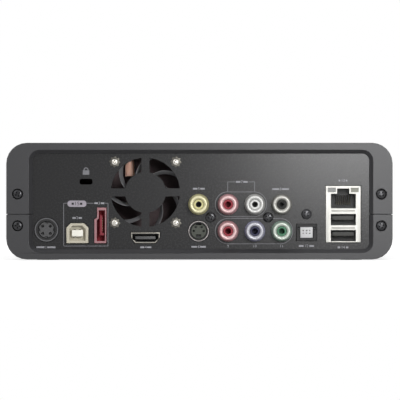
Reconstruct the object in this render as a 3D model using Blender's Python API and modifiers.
"""A desktop media player with a front-loading hard drive tray, built in Blender.

Metres, +Z up. The front with the tray faces -Y and the panel with the sockets faces +Y.
The origin is under the middle of the box that holds the whole player, at the feet's underside.
Run with: blender --background --python part.py
"""

import math

import bmesh
import bpy
from mathutils import Matrix

# Gaps and sheets used all over the player
FIT = 0.0003
OVERRUN = 0.001
WALL = 0.002
BOARD_SHEET = 0.0016
WELD_DISTANCE = 0.000002
CORNER_STEPS = 6
ROUND_SIDES = 24
SMALL_SIDES = 12
BORE_SIDES = 36
BUTTON_SIDES = 18
SHARP_ANGLE = math.radians(35)

# Case, with heights counted up from its underside
CASE_CORNER = 0.0108
FOOT_PROUD = 0.0004
FOOT_DIAMETER = 0.012
FOOT_POCKET = 0.001
FOOT_INSET = 0.021
RIM_SIDE = 0.011
RIM_SHIFT = 0.0008
RIM_TOP = 0.0037
RIM_BOTTOM = 0.0034
RIM_SLOPE = 0.002
RIM_DEPTH = 0.0035
RIM_INNER_CORNER = 0.0055
SEAM_OVER_BOARD = 0.0154
VENT_WIDTH = 0.0018
VENT_LENGTH = 0.014
VENT_PITCH = 0.0055
VENT_COUNT = 9
VENT_OVER_SEAM = 0.0085

# Stack of what stands on the floor of the case, from the floor up
BOARD_STANDOFF = 0.0046
BOSS_DIAMETER = 0.006
BOARD_SIDE_GAP = 0.005
BOARD_FRONT_GAP = 0.002
UNDER_BAY = 0.0158
RUNNER_SHEET = 0.001
RUNNER_WIDTH = 0.006
TRAY_FLOOR = 0.002
TRAY_WALL = 0.002
TRAY_WALL_HEIGHT = 0.017
RUNNING_GAP = 0.0004
DRIVE_WIDTH = 0.1016
DRIVE_LENGTH = 0.147
DRIVE_HEIGHT = 0.0261
DRIVE_CORNER = 0.003
BAY_HEADROOM = 0.0013
CAGE_SHEET = 0.001
TOP_SPACE = 0.003
BAY_SIDE_GAP = 0.008
CAGE_FRONT_GAP = 0.0013

# Hard drive details
DRIVE_BOARD_SIDE_GAP = 0.0038
DRIVE_BOARD_LENGTH = 0.062
DRIVE_BOARD_SHEET = 0.0012
DRIVE_POCKET = 0.0034
DRIVE_BOARD_MARGIN = 0.001
PLUG_WIDTH = 0.036
PLUG_HEIGHT = 0.005
PLUG_DEPTH = 0.005
PLUG_FROM_SIDE = 0.012
PLUG_OVER_FLOOR = 0.0062
PLUG_CLEARANCE = 0.0006
SHROUD_MARGIN = 0.0015

# Depth, from the face of the front bezel back to the jacks
BUTTON_PROUD = 0.0008
BEZEL_DEPTH = 0.010
BEZEL_PLATE = 0.0025
TRAY_FRONT_DEPTH = 0.011
SHROUD_DEPTH = 0.005
REAR_SPACE = 0.0049
JACK_HOUSING_DEPTH = 0.020
JACK_PLATE_SHEET = 0.0008
PANEL_SHEET = 0.001
JACK_REACH = 0.0085
SOCKET_PROUD = 0.0004

# Columns of the rear panel, from its +X end to its -X end
MARGIN_POWER = 0.0016
POWER_RING = 0.0126
GAP_POWER_DEVICE = 0.00415
DEVICE_WIDTH = 0.0115
GAP_DEVICE_DRIVE = 0.0031
DRIVE_PORT_WIDTH = 0.0063
GAP_DRIVE_FAN = 0.00045
FAN_SIZE = 0.040
GAP_FAN_JACKS = 0.0009
JACK_PITCH = 0.014
GAP_VIDEO_AUDIO = 0.0014
AUDIO_COLUMNS = 3
GAP_JACKS_OPTICAL = 0.0009
OPTICAL_WIDTH = 0.0104
GAP_OPTICAL_NETWORK = 0.00485
NETWORK_WIDTH = 0.0183
MARGIN_NETWORK = 0.00355

# Power socket
POWER_BODY_STEP = 0.0005
POWER_BODY_DEPTH = 0.012
POWER_RING_OVER_SEAT = 0.0007
POWER_WALL = 0.00175
POWER_BORE_DEPTH = 0.008
POWER_PIN = 0.0011
POWER_PIN_INSET = 0.00245
POWER_PIN_LENGTH = 0.006

# Device port, with its chamfered upper corners
DEVICE_HEIGHT = 0.0104
DEVICE_CHAMFER = 0.0022
DEVICE_DEPTH = 0.016
DEVICE_SIDE_WALL = 0.00155
DEVICE_TOP_WALL = 0.0013
DEVICE_MOUTH_CHAMFER = 0.0017
DEVICE_MOUTH_DEPTH = 0.009
DEVICE_TONGUE_WIDTH = 0.0056
DEVICE_TONGUE_HEIGHT = 0.0033
DEVICE_TONGUE_SHORT = 0.0012

# Upright drive port with its L-shaped tongue
DRIVE_PORT_HEIGHT = 0.0186
DRIVE_PORT_DEPTH = 0.014
DRIVE_PORT_LIP = 0.0008
DRIVE_KEY_INSET = 0.00145
DRIVE_KEY_HEIGHT = 0.0061
DRIVE_KEY_SLOPE = 0.0008
DRIVE_PORT_MOUTH_DEPTH = 0.0065
DRIVE_TONGUE_SHEET = 0.0013
DRIVE_TONGUE_HEIGHT = 0.0105
DRIVE_TONGUE_FOOT = 0.0025
DRIVE_TONGUE_SHORT = 0.0012

# Flat digital picture and sound port
AV_WIDTH = 0.0151
AV_HEIGHT = 0.0056
AV_SIDE = 0.0026
AV_INSET = 0.0021
AV_DEPTH = 0.0115
AV_LIP = 0.0005
AV_MOUTH_DEPTH = 0.009
AV_TONGUE_WIDTH = 0.0106
AV_TONGUE_SHEET = 0.0012
AV_TONGUE_SHORT = 0.0008

# Fan behind its grille
FAN_OVER_AV = 0.001
FAN_DEPTH = 0.010
FAN_CORNER = 0.003
FAN_RIM = 0.001
FAN_HOLE_INSET = 0.004
FAN_BACK = 0.0015
FAN_STRUT = 0.0028
FAN_STUB_GAP = 0.001
FAN_STUB_TOP_GAP = 0.0019
FAN_LIP = 0.0006
FAN_SHAFT = 0.002
FAN_HUB = 0.020
FAN_HUB_WALL = 0.0018
FAN_HUB_CAP = 0.0012
FAN_FACE_GAP = 0.0009
FAN_BLADES = 7
FAN_TIP_GAP = 0.0006
FAN_BLADE_SHEET = 0.0009
FAN_BLADE_SWEEP = math.radians(22)
FAN_BLADE_MARGIN = 0.0004
FAN_BLADE_BACK_GAP = 0.0014
FAN_OVER_RIM = 0.0004
GRILLE_STEP = 0.0008
GRILLE_LAP = 0.00075
GRILLE_SPOKE = 0.0042

# Screws
COVER_SCREW_HEAD = 0.0052
COVER_SCREW_HEAD_HEIGHT = 0.0014
COVER_SCREW_SHANK = 0.0024
COVER_SCREW_INSET = 0.0059
COVER_SCREW_ABOVE_SEAM = 0.0106
COVER_SCREW_BELOW_SEAM = 0.006
COVER_SCREW_SINK = 0.0018
COVER_SCREW_REACH = 0.002
PANEL_SCREW_HEAD = 0.0054
PANEL_SCREW_HEAD_HEIGHT = 0.0013
PANEL_SCREW_SHANK = 0.0022
PANEL_SCREW_LENGTH = 0.009
PANEL_SCREW_LIFT = 0.0003
FAN_SCREW_HEAD = 0.0058
FAN_SCREW_HEAD_HEIGHT = 0.0016
FAN_SCREW_SHANK = 0.0030
FAN_SCREW_SPARE = 0.0015
SCREW_DOME_SHARE = 0.55

# Round jacks and the round four-pin video socket
VIDEO_RING_OVER_SEAT = 0.0009
JACK_ROW_PITCH = 0.014
JACK_BARREL = 0.0088
JACK_WALL = 0.0012
JACK_MARGIN = 0.0003
INSERT_HOLE = 0.0032
INSERT_HOLE_DEPTH = 0.009
INSERT_SINK = 0.0007
INSERT_TAIL = 0.005
VIDEO_SOCKET_RING = 0.0108
VIDEO_SOCKET_STEP = 0.0002
VIDEO_SOCKET_DEPTH = 0.012
VIDEO_SOCKET_WALL = 0.0011
VIDEO_SOCKET_BORE_DEPTH = 0.006
VIDEO_SOCKET_TOP_GAP = 0.0008
VIDEO_PIN = 0.0010
VIDEO_PIN_SPREAD = 0.0036
VIDEO_PIN_LENGTH = 0.0048
VIDEO_KEY_WIDTH = 0.0024
VIDEO_KEY_HEIGHT = 0.0014

# Optical port and its shutter
OPTICAL_HEIGHT = 0.0084
OPTICAL_OVER_SEAT = 0.0014
OPTICAL_DEPTH = 0.013
OPTICAL_LUG = 0.0082
OPTICAL_SCREW_DROP = 0.0028
OPTICAL_SIDE_WALL = 0.0016
OPTICAL_TOP_WALL = 0.0013
OPTICAL_MOUTH_DEPTH = 0.009
SHUTTER_SHEET = 0.0008
SHUTTER_PIN = 0.0010
SHUTTER_PIN_REACH = 0.0009
SHUTTER_SINK = 0.0009
SHUTTER_FOOT_GAP = 0.0005

# Network and twin port block
NETWORK_OVER_SEAT = 0.0004
NETWORK_DEPTH = 0.021
NETWORK_SHEET = 0.0006
NETWORK_PROUD = 0.0005
NETWORK_SILL = 0.00095
NETWORK_LINTEL = 0.0014
NETWORK_MOUTH_SIDE = 0.0028
NETWORK_MOUTH_HEIGHT = 0.0072
NETWORK_MOUTH_OVER_TWINS = 0.00355
NETWORK_MOUTH_DEPTH = 0.012
NETWORK_NOTCH_WIDTH = 0.0063
NETWORK_NOTCH_HEIGHT = 0.0028
TWIN_SIDE = 0.00275
TWIN_HEIGHT = 0.0053
TWIN_GAP = 0.0031
TWIN_DEPTH = 0.010
TWIN_TONGUE_SIDE = 0.0008
TWIN_TONGUE_SHEET = 0.0020
TWIN_TONGUE_DROP = 0.0007
TWIN_TONGUE_SHORT = 0.0012

# Lock slot
LOCK_WIDTH = 0.0068
LOCK_HEIGHT = 0.003
LOCK_CORNER = 0.001
LOCK_SHIFT = 0.0045
LOCK_OVER_PORTS = 0.0136

# Tray front, its handle and its release
TRAY_FRONT_LIP = 0.0015
TRAY_FRONT_UNDER = 0.0005
TRAY_FRONT_TOP_LIP = 0.0005
TRAY_FRONT_CORNER = 0.0025
TRAY_FRONT_GAP = 0.0004
HANDLE_MARGIN = 0.0066
HANDLE_SHEET = 0.003
HANDLE_GAP = 0.0005
HANDLE_KNUCKLE = 0.0046
HANDLE_AXIS_RISE = 0.004
HANDLE_PIN = 0.002
HANDLE_PIN_REACH = 0.005
FINGER_WIDTH = 0.032
FINGER_HEIGHT = 0.0062
FINGER_DEPTH = 0.0078
FINGER_BEHIND = 0.004
FINGER_TOP_MARGIN = 0.0033
RELEASE_WIDTH = 0.0076
RELEASE_HEIGHT = 0.013
RELEASE_DEPTH = 0.0042
RELEASE_CORNER = 0.0018
RELEASE_TRAVEL = 0.0015
RELEASE_FROM_HANDLE = 0.0085
RELEASE_MARGIN = 0.0085
RELEASE_GUIDE = 0.0024
RELEASE_GUIDE_LENGTH = 0.0025

# Display, buttons and front board
BAY_TO_WINDOW = 0.0100
WINDOW_HEIGHT = 0.020
WINDOW_SHEET = 0.0012
WINDOW_CORNER = 0.002
WINDOW_LEDGE = 0.0025
WINDOW_REBATE = 0.0015
DISPLAY_DEPTH = 0.004
FRONT_BOARD_SETBACK = 0.0054
FRONT_BOARD_MARGIN = 0.003
FRONT_BOARD_CORNER = 0.006
FRONT_POST = 0.004
POWER_BUTTON = 0.010
POWER_BUTTON_INSET = 0.0082
MENU_BUTTON = 0.0064
MENU_BUTTON_PITCH = 0.013
MENU_BUTTON_COUNT = 3
MENU_BUTTON_INSET = 0.0045
BUTTON_SPACE = 0.010
BUTTON_FLANGE = 0.0012
BUTTON_FLANGE_SHEET = 0.0008
BUTTON_STEM = 0.003
BUTTON_TRAVEL = 0.0006
BUTTON_ROW_UNDER_WINDOW = 0.0125
BUTTON_ROUND = 0.0005

# Main board's own pieces
HEATSINK_SIZE = 0.036
HEATSINK_HEIGHT = 0.0125
HEATSINK_BASE = 0.0025
HEATSINK_FIN = 0.0012
HEATSINK_FINS = 9
HEATSINK_FROM_BAY = 0.014
CAPACITOR_DIAMETER = 0.010
CAPACITOR_HEIGHT = 0.013
CAPACITOR_NECK = 0.0006
CAPACITOR_FROM_WALL = 0.026
CHOKE_DIAMETER = 0.0062
CHOKE_FLANGE = 0.0009
CHOKE_WAIST = 0.0008
CHOKE_HEIGHT = 0.0096
CHOKE_SHIFT = 0.0080
CHOKE_TOP_GAP = 0.0008
BACKPLANE_SIDE_GAP = 0.006
BACKPLANE_TOP_GAP = 0.002

# Depth of the player, front to back
LENGTH_TO_PANEL = (
    TRAY_FRONT_DEPTH + DRIVE_LENGTH + SHROUD_DEPTH + BOARD_SHEET + REAR_SPACE
    + JACK_HOUSING_DEPTH + JACK_PLATE_SHEET + PANEL_SHEET + 4 * FIT
)
FRONT = -(BUTTON_PROUD + LENGTH_TO_PANEL + JACK_REACH) / 2
BEZEL_FRONT = FRONT + BUTTON_PROUD
BEZEL_BACK = BEZEL_FRONT + BEZEL_DEPTH
BEZEL_PLATE_BACK = BEZEL_FRONT + BEZEL_PLATE
COVER_FRONT = BEZEL_BACK + FIT
PANEL_OUTER = BEZEL_FRONT + LENGTH_TO_PANEL
PANEL_INNER = PANEL_OUTER - PANEL_SHEET
RIM_INNER = PANEL_OUTER + FIT
COVER_REAR = RIM_INNER + RIM_DEPTH
BEHIND_PANEL = PANEL_INNER - FIT
SOCKET_FACE = PANEL_OUTER + SOCKET_PROUD
TRAY_FRONT_BACK = BEZEL_FRONT + TRAY_FRONT_DEPTH
CAGE_FRONT = TRAY_FRONT_BACK + CAGE_FRONT_GAP
DRIVE_FRONT = TRAY_FRONT_BACK + FIT
DRIVE_REAR = DRIVE_FRONT + DRIVE_LENGTH
BACKPLANE_FRONT = DRIVE_REAR + SHROUD_DEPTH + FIT
BACKPLANE_REAR = BACKPLANE_FRONT + BOARD_SHEET

# Heights, from the floor up; the case is as tall as the taller of the bay and the fan
UNDERSIDE = FOOT_PROUD
FLOOR = UNDERSIDE + WALL
BOARD_UNDERSIDE = FLOOR + BOARD_STANDOFF
BOARD_TOP = BOARD_UNDERSIDE + BOARD_SHEET
SEAT = BOARD_TOP + FIT
SEAM = BOARD_TOP + SEAM_OVER_BOARD
RUNNER_UNDERSIDE = BOARD_TOP + UNDER_BAY
RUNNER_TOP = RUNNER_UNDERSIDE + RUNNER_SHEET
TRAY_UNDERSIDE = RUNNER_TOP + FIT
DRIVE_UNDERSIDE = TRAY_UNDERSIDE + TRAY_FLOOR + FIT
DRIVE_TOP = DRIVE_UNDERSIDE + DRIVE_HEIGHT
CAGE_TOP = DRIVE_TOP + BAY_HEADROOM + CAGE_SHEET
BACKPLANE_TOP = CAGE_TOP - BACKPLANE_TOP_GAP
FAN_BORE = FAN_SIZE - 2 * FAN_RIM
FAN_HOLE_SPREAD = FAN_SIZE - 2 * FAN_HOLE_INSET
FAN_STUB = FAN_HUB - 2 * (FAN_HUB_WALL + FAN_STUB_GAP)
FAN_ROOM = FAN_DEPTH - FAN_BACK - FAN_FACE_GAP
FAN_STUB_HEIGHT = FAN_ROOM - FAN_HUB_CAP - FAN_STUB_TOP_GAP
FAN_BLADE_TRAVEL = FAN_ROOM - FAN_BLADE_MARGIN - FAN_BLADE_BACK_GAP
GRILLE_OPENING = FAN_BORE - 2 * GRILLE_STEP
GRILLE_DISC = FAN_HUB + 2 * GRILLE_LAP
AV_AXIS = SEAT + AV_HEIGHT / 2
FAN_AXIS = SEAT + AV_HEIGHT + FAN_OVER_AV + FAN_SIZE / 2
GRILLE_TOP = FAN_AXIS + GRILLE_OPENING / 2 + FAN_OVER_RIM + RIM_SLOPE + RIM_TOP
FAN_TOP = FAN_AXIS + FAN_SIZE / 2 + FIT + WALL
CASE_TOP = max(CAGE_TOP + TOP_SPACE + WALL, GRILLE_TOP, FAN_TOP)
CASE_HEIGHT = CASE_TOP - UNDERSIDE
CASE_MIDDLE = UNDERSIDE + CASE_HEIGHT / 2
RIM_MIDDLE = CASE_MIDDLE + (RIM_BOTTOM - RIM_TOP) / 2
RIM_HEIGHT = CASE_HEIGHT - RIM_TOP - RIM_BOTTOM
JACK_BORE = JACK_BARREL - 2 * JACK_WALL
JACK_LOWER = SEAT + VIDEO_RING_OVER_SEAT + VIDEO_SOCKET_RING / 2
JACK_UPPER = JACK_LOWER + JACK_ROW_PITCH
PANEL_SCREW_ROW = JACK_LOWER + JACK_ROW_PITCH / 2 + PANEL_SCREW_LIFT

# Width: the wider of the front's row, tray and controls, and the rear's row of ports
TRAY_WIDTH = DRIVE_WIDTH + 2 * (TRAY_WALL + FIT)
CAGE_INNER = TRAY_WIDTH + 2 * RUNNING_GAP
CAGE_OUTER = CAGE_INNER + 2 * CAGE_SHEET
TRAY_FRONT_WIDTH = TRAY_WIDTH + 2 * TRAY_FRONT_LIP
CONTROLS_WIDTH = (
    POWER_BUTTON_INSET + POWER_BUTTON / 2 + BUTTON_SPACE + MENU_BUTTON
    + (MENU_BUTTON_COUNT - 1) * MENU_BUTTON_PITCH + MENU_BUTTON_INSET
)
FRONT_ROW_WIDTH = (
    CASE_CORNER + CONTROLS_WIDTH + BAY_TO_WINDOW + TRAY_FRONT_GAP
    + (TRAY_FRONT_WIDTH + CAGE_OUTER) / 2 + BAY_SIDE_GAP + WALL
)
PORT_ROW_WIDTH = (
    MARGIN_POWER + POWER_RING + GAP_POWER_DEVICE + DEVICE_WIDTH + GAP_DEVICE_DRIVE
    + DRIVE_PORT_WIDTH + GAP_DRIVE_FAN + FAN_SIZE + GAP_FAN_JACKS + JACK_PITCH
    + GAP_VIDEO_AUDIO + AUDIO_COLUMNS * JACK_PITCH + GAP_JACKS_OPTICAL + OPTICAL_WIDTH
    + GAP_OPTICAL_NETWORK + NETWORK_WIDTH + MARGIN_NETWORK
)
CASE_WIDTH = max(PORT_ROW_WIDTH + 2 * (RIM_SIDE + RIM_SLOPE), FRONT_ROW_WIDTH)

# Places of the rear panel's columns, counted from its two ends
ROW_END = CASE_WIDTH / 2 - RIM_SIDE - RIM_SLOPE
POWER_X = ROW_END - MARGIN_POWER - POWER_RING / 2
DEVICE_X = POWER_X - POWER_RING / 2 - GAP_POWER_DEVICE - DEVICE_WIDTH / 2
DRIVE_PORT_X = DEVICE_X - DEVICE_WIDTH / 2 - GAP_DEVICE_DRIVE - DRIVE_PORT_WIDTH / 2
FAN_X = DRIVE_PORT_X - DRIVE_PORT_WIDTH / 2 - GAP_DRIVE_FAN - FAN_SIZE / 2
VIDEO_X = FAN_X - FAN_SIZE / 2 - GAP_FAN_JACKS - JACK_PITCH / 2
AUDIO_X = VIDEO_X - JACK_PITCH - GAP_VIDEO_AUDIO
LAST_AUDIO_X = AUDIO_X - (AUDIO_COLUMNS - 1) * JACK_PITCH
OPTICAL_X = LAST_AUDIO_X - JACK_PITCH / 2 - GAP_JACKS_OPTICAL - OPTICAL_WIDTH / 2
NETWORK_X = MARGIN_NETWORK + NETWORK_WIDTH / 2 - ROW_END
LOCK_X = DEVICE_X - LOCK_SHIFT
LOCK_Z = SEAT + DRIVE_PORT_HEIGHT + LOCK_OVER_PORTS
TWIN_LOWER_RISE = NETWORK_SILL + TWIN_HEIGHT / 2
TWIN_PITCH = TWIN_HEIGHT + TWIN_GAP
NETWORK_MOUTH_DROP = NETWORK_LINTEL + NETWORK_NOTCH_HEIGHT + NETWORK_MOUTH_HEIGHT / 2
NETWORK_HEIGHT = (
    TWIN_LOWER_RISE + TWIN_PITCH + TWIN_HEIGHT / 2 + NETWORK_MOUTH_OVER_TWINS
    + NETWORK_MOUTH_HEIGHT / 2 + NETWORK_MOUTH_DROP
)
NETWORK_Z = SEAT + NETWORK_OVER_SEAT + NETWORK_HEIGHT / 2
OPTICAL_Z = SEAT + OPTICAL_OVER_SEAT + OPTICAL_HEIGHT / 2
OPTICAL_TOP = OPTICAL_Z + OPTICAL_HEIGHT / 2 + OPTICAL_LUG
POWER_Z = SEAT + POWER_RING_OVER_SEAT + POWER_RING / 2
POWER_BODY_WIDTH = POWER_RING + 2 * POWER_BODY_STEP
POWER_BORE = POWER_RING - 2 * POWER_WALL
POWER_PIN_SPREAD = POWER_BORE - 2 * POWER_PIN_INSET
DEVICE_MOUTH_WIDTH = DEVICE_WIDTH - 2 * DEVICE_SIDE_WALL
DEVICE_MOUTH_HEIGHT = DEVICE_HEIGHT - 2 * DEVICE_TOP_WALL
VIDEO_SOCKET_BODY = VIDEO_SOCKET_RING + 2 * VIDEO_SOCKET_STEP
VIDEO_SOCKET_BORE = VIDEO_SOCKET_RING - 2 * VIDEO_SOCKET_WALL
OPTICAL_MOUTH_WIDTH = OPTICAL_WIDTH - 2 * OPTICAL_SIDE_WALL
OPTICAL_MOUTH_HEIGHT = OPTICAL_HEIGHT - 2 * OPTICAL_TOP_WALL
NETWORK_MOUTH_WIDTH = NETWORK_WIDTH - 2 * NETWORK_MOUTH_SIDE
TWIN_WIDTH = NETWORK_WIDTH - 2 * TWIN_SIDE
TWIN_TONGUE_WIDTH = TWIN_WIDTH - 2 * TWIN_TONGUE_SIDE

# Drive bay and tray, set against the +X flank
BAY_X = CASE_WIDTH / 2 - WALL - BAY_SIDE_GAP - CAGE_OUTER / 2
TRAY_FRONT_BOTTOM = RUNNER_UNDERSIDE - TRAY_FRONT_UNDER
TRAY_FRONT_TOP = CAGE_TOP - CAGE_SHEET + TRAY_FRONT_TOP_LIP
TRAY_FRONT_HEIGHT = TRAY_FRONT_TOP - TRAY_FRONT_BOTTOM
TRAY_FRONT_Z = (TRAY_FRONT_TOP + TRAY_FRONT_BOTTOM) / 2
HANDLE_WIDTH = (
    TRAY_FRONT_WIDTH - HANDLE_MARGIN - RELEASE_FROM_HANDLE - RELEASE_WIDTH - RELEASE_MARGIN
)
HANDLE_HEIGHT = (
    TRAY_FRONT_HEIGHT - HANDLE_AXIS_RISE - HANDLE_GAP - FINGER_HEIGHT - FINGER_TOP_MARGIN
)
HANDLE_X = BAY_X - TRAY_FRONT_WIDTH / 2 + HANDLE_MARGIN + HANDLE_WIDTH / 2
HANDLE_Z = TRAY_FRONT_BOTTOM + HANDLE_AXIS_RISE
HANDLE_Y = BEZEL_FRONT + HANDLE_KNUCKLE / 2
RELEASE_X = HANDLE_X + HANDLE_WIDTH / 2 + RELEASE_FROM_HANDLE + RELEASE_WIDTH / 2
PLUG_X = BAY_X - DRIVE_WIDTH / 2 + PLUG_FROM_SIDE + PLUG_WIDTH / 2
PLUG_Z = DRIVE_UNDERSIDE + PLUG_OVER_FLOOR + PLUG_HEIGHT / 2

# Front left of the tray: display window over a row of buttons
ZONE_LEFT = -CASE_WIDTH / 2 + CASE_CORNER
ZONE_RIGHT = BAY_X - TRAY_FRONT_WIDTH / 2 - TRAY_FRONT_GAP - BAY_TO_WINDOW
WINDOW_WIDTH = ZONE_RIGHT - ZONE_LEFT
WINDOW_X = (ZONE_LEFT + ZONE_RIGHT) / 2
WINDOW_Z = TRAY_FRONT_Z
BUTTON_ROW = WINDOW_Z - WINDOW_HEIGHT / 2 - BUTTON_ROW_UNDER_WINDOW
POWER_BUTTON_X = ZONE_LEFT + POWER_BUTTON_INSET
FRONT_BOARD_FACE = BEZEL_PLATE_BACK + FRONT_BOARD_SETBACK
BUTTON_AXIS_LENGTH = FRONT_BOARD_FACE - FIT - BUTTON_TRAVEL - FRONT

# How a shape drawn flat, or turned about +Z, is faced
FACINGS = {
    "up": Matrix.Identity(4),
    "front": Matrix.Rotation(math.radians(90), 4, "X"),
    "rear": Matrix.Rotation(math.radians(-90), 4, "X"),
    "right": Matrix(((0, 0, 1, 0), (1, 0, 0, 0), (0, 1, 0, 0), (0, 0, 0, 1))),
}
AXES = {"up": "z", "front": "y", "rear": "y", "right": "x"}

for old in list(bpy.data.objects):
    bpy.data.objects.remove(old)
PARTS = bpy.data.collections.new("media_player")
CUTTERS = bpy.data.collections.new("media_player_cutters")
bpy.context.scene.collection.children.link(PARTS)
bpy.context.scene.collection.children.link(CUTTERS)


def material(name, colour, roughness, metallic=0.0, alpha=1.0):
    """The named finish, made the first time that it is asked for."""
    finish = bpy.data.materials.get(name)
    if finish is None:
        finish = bpy.data.materials.new(name)
        finish.use_nodes = True
        shader = finish.node_tree.nodes["Principled BSDF"]
        shader.inputs["Base Color"].default_value = (*colour, 1.0)
        shader.inputs["Roughness"].default_value = roughness
        shader.inputs["Metallic"].default_value = metallic
        shader.inputs["Alpha"].default_value = alpha
    return finish


def finish_with(piece, finish):
    piece.data.materials.clear()
    piece.data.materials.append(finish)
    return piece


def new_piece(name, mesh, matrix):
    """An object in the player's collection, smooth where its faces turn gently."""
    mesh.shade_smooth()
    mesh.set_sharp_from_angle(angle=SHARP_ANGLE)
    piece = bpy.data.objects.new(name, mesh)
    piece.matrix_world = matrix
    PARTS.objects.link(piece)
    return piece


def placed(facing, along, across=(0.0, 0.0)):
    """The matrix that faces a shape and sets it at a place along and across that facing."""
    spot = list(across)
    spot.insert("xyz".index(AXES[facing]), along)
    return Matrix.Translation(spot) @ FACINGS[facing]


def outline_solid(name, outlines, start, end, middle=(0.0, 0.0), facing="front"):
    """A flat outline, with any further outlines as holes in it, made solid from start to end."""
    curve = bpy.data.curves.new(name, "CURVE")
    curve.dimensions = "2D"
    curve.fill_mode = "BOTH"
    curve.extrude = abs(end - start) / 2
    for outline in outlines:
        spline = curve.splines.new("POLY")
        spline.points.add(len(outline) - 1)
        for point, (across, up) in zip(spline.points, outline):
            point.co = (across, up, 0.0, 1.0)
        spline.use_cyclic_u = True
    drawn = bpy.data.objects.new(name, curve)
    drawn.matrix_world = placed(facing, (start + end) / 2, middle)
    PARTS.objects.link(drawn)
    bpy.context.view_layer.update()
    graph = bpy.context.evaluated_depsgraph_get()
    mesh = bpy.data.meshes.new_from_object(drawn.evaluated_get(graph))
    shape = bmesh.new()
    shape.from_mesh(mesh)
    bmesh.ops.remove_doubles(shape, verts=shape.verts, dist=WELD_DISTANCE)
    bmesh.ops.recalc_face_normals(shape, faces=shape.faces)
    shape.to_mesh(mesh)
    shape.free()
    matrix = drawn.matrix_world.copy()
    bpy.data.objects.remove(drawn)
    return new_piece(name, mesh, matrix)


def block(name, low, high):
    """A box between two corners, with its origin in its middle."""
    sizes = [b - a for a, b in zip(low, high)]
    middle = [(a + b) / 2 for a, b in zip(low, high)]
    shape = bmesh.new()
    bmesh.ops.create_cube(shape, size=1.0, matrix=Matrix.Diagonal((*sizes, 1.0)))
    mesh = bpy.data.meshes.new(name)
    shape.to_mesh(mesh)
    shape.free()
    return new_piece(name, mesh, Matrix.Translation(middle))


def rod(name, radius, start, end, middle=(0.0, 0.0), facing="front", sides=ROUND_SIDES):
    """A plain round rod from start to end along a facing."""
    shape = bmesh.new()
    bmesh.ops.create_cone(
        shape, cap_ends=True, segments=sides, radius1=radius, radius2=radius, depth=abs(end - start)
    )
    mesh = bpy.data.meshes.new(name)
    shape.to_mesh(mesh)
    shape.free()
    return new_piece(name, mesh, placed(facing, (start + end) / 2, middle))


def turned(name, profile, start, middle, facing, sides=ROUND_SIDES):
    """A turned piece: (radius, height) points run from its top down its outer side."""
    mesh = bpy.data.meshes.new(name)
    points = [(radius, 0.0, height) for radius, height in profile]
    mesh.from_pydata(points, [(i, i + 1) for i in range(len(points) - 1)], [])
    piece = bpy.data.objects.new(name, mesh)
    piece.matrix_world = placed(facing, start, middle)
    PARTS.objects.link(piece)
    turn = piece.modifiers.new("Turn", "SCREW")
    turn.steps = sides
    turn.render_steps = sides
    turn.use_merge_vertices = True
    turn.merge_threshold = WELD_DISTANCE
    return piece


def loft(name, rings):
    """A solid through rings of (outline, place along Y), all with as many points."""
    shape = bmesh.new()
    loops = [[shape.verts.new((x, y, z)) for x, z in outline] for outline, y in rings]
    for first, second in zip(loops, loops[1:]):
        for i in range(len(first)):
            j = (i + 1) % len(first)
            shape.faces.new((first[i], first[j], second[j], second[i]))
    shape.faces.new(loops[0])
    shape.faces.new(loops[-1])
    bmesh.ops.recalc_face_normals(shape, faces=shape.faces)
    mesh = bpy.data.meshes.new(name)
    shape.to_mesh(mesh)
    shape.free()
    return new_piece(name, mesh, Matrix.Identity(4))


def together(name, pieces):
    """One object that holds the shapes of several that don't touch, for a single cut or join."""
    bpy.context.view_layer.update()
    graph = bpy.context.evaluated_depsgraph_get()
    shape = bmesh.new()
    for piece in pieces:
        mesh = bpy.data.meshes.new_from_object(piece.evaluated_get(graph))
        mesh.transform(piece.matrix_world)
        shape.from_mesh(mesh)
        bpy.data.meshes.remove(mesh)
    mesh = bpy.data.meshes.new(name)
    shape.to_mesh(mesh)
    shape.free()
    for piece in pieces:
        bpy.data.objects.remove(piece)
    return new_piece(name, mesh, Matrix.Identity(4))


def put_away(tool):
    """Keeps a cutter or a joined shape out of the render."""
    if tool.name in PARTS.objects:
        PARTS.objects.unlink(tool)
        CUTTERS.objects.link(tool)
    tool.hide_render = True
    tool.display_type = "WIRE"


def boolean(piece, tool, operation):
    put_away(tool)
    step = piece.modifiers.new(tool.name, "BOOLEAN")
    step.operation = operation
    step.solver = "EXACT"
    step.object = tool


def cut(piece, *tools):
    for tool in tools:
        boolean(piece, tool, "DIFFERENCE")
    return piece


def fuse(piece, *tools):
    for tool in tools:
        boolean(piece, tool, "UNION")
    return piece


def circle(diameter, middle=(0.0, 0.0), sides=ROUND_SIDES):
    """Points of a circle, by its diameter, turned so that no two lie level with each other."""
    turns = [2 * math.pi * (i + 1 / 4) / sides for i in range(sides)]
    return [
        (middle[0] + diameter / 2 * math.cos(a), middle[1] + diameter / 2 * math.sin(a))
        for a in turns
    ]


def rectangle(width, height, middle=(0.0, 0.0)):
    """Points of a plain rectangle."""
    x, z = middle
    return [
        (x + side * width / 2, z + rise * height / 2)
        for side, rise in ((1, 1), (-1, 1), (-1, -1), (1, -1))
    ]


def rounded_rectangle(width, height, radius, middle=(0.0, 0.0), steps=CORNER_STEPS):
    """Points of a rectangle with round corners, counter-clockwise from its right side."""
    points = []
    for quarter, (side, rise) in enumerate(((1, 1), (-1, 1), (-1, -1), (1, -1))):
        for step in range(steps + 1):
            angle = (quarter + step / steps) * math.pi / 2
            points.append((
                middle[0] + side * (width / 2 - radius) + radius * math.cos(angle),
                middle[1] + rise * (height / 2 - radius) + radius * math.sin(angle),
            ))
    return points


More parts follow.
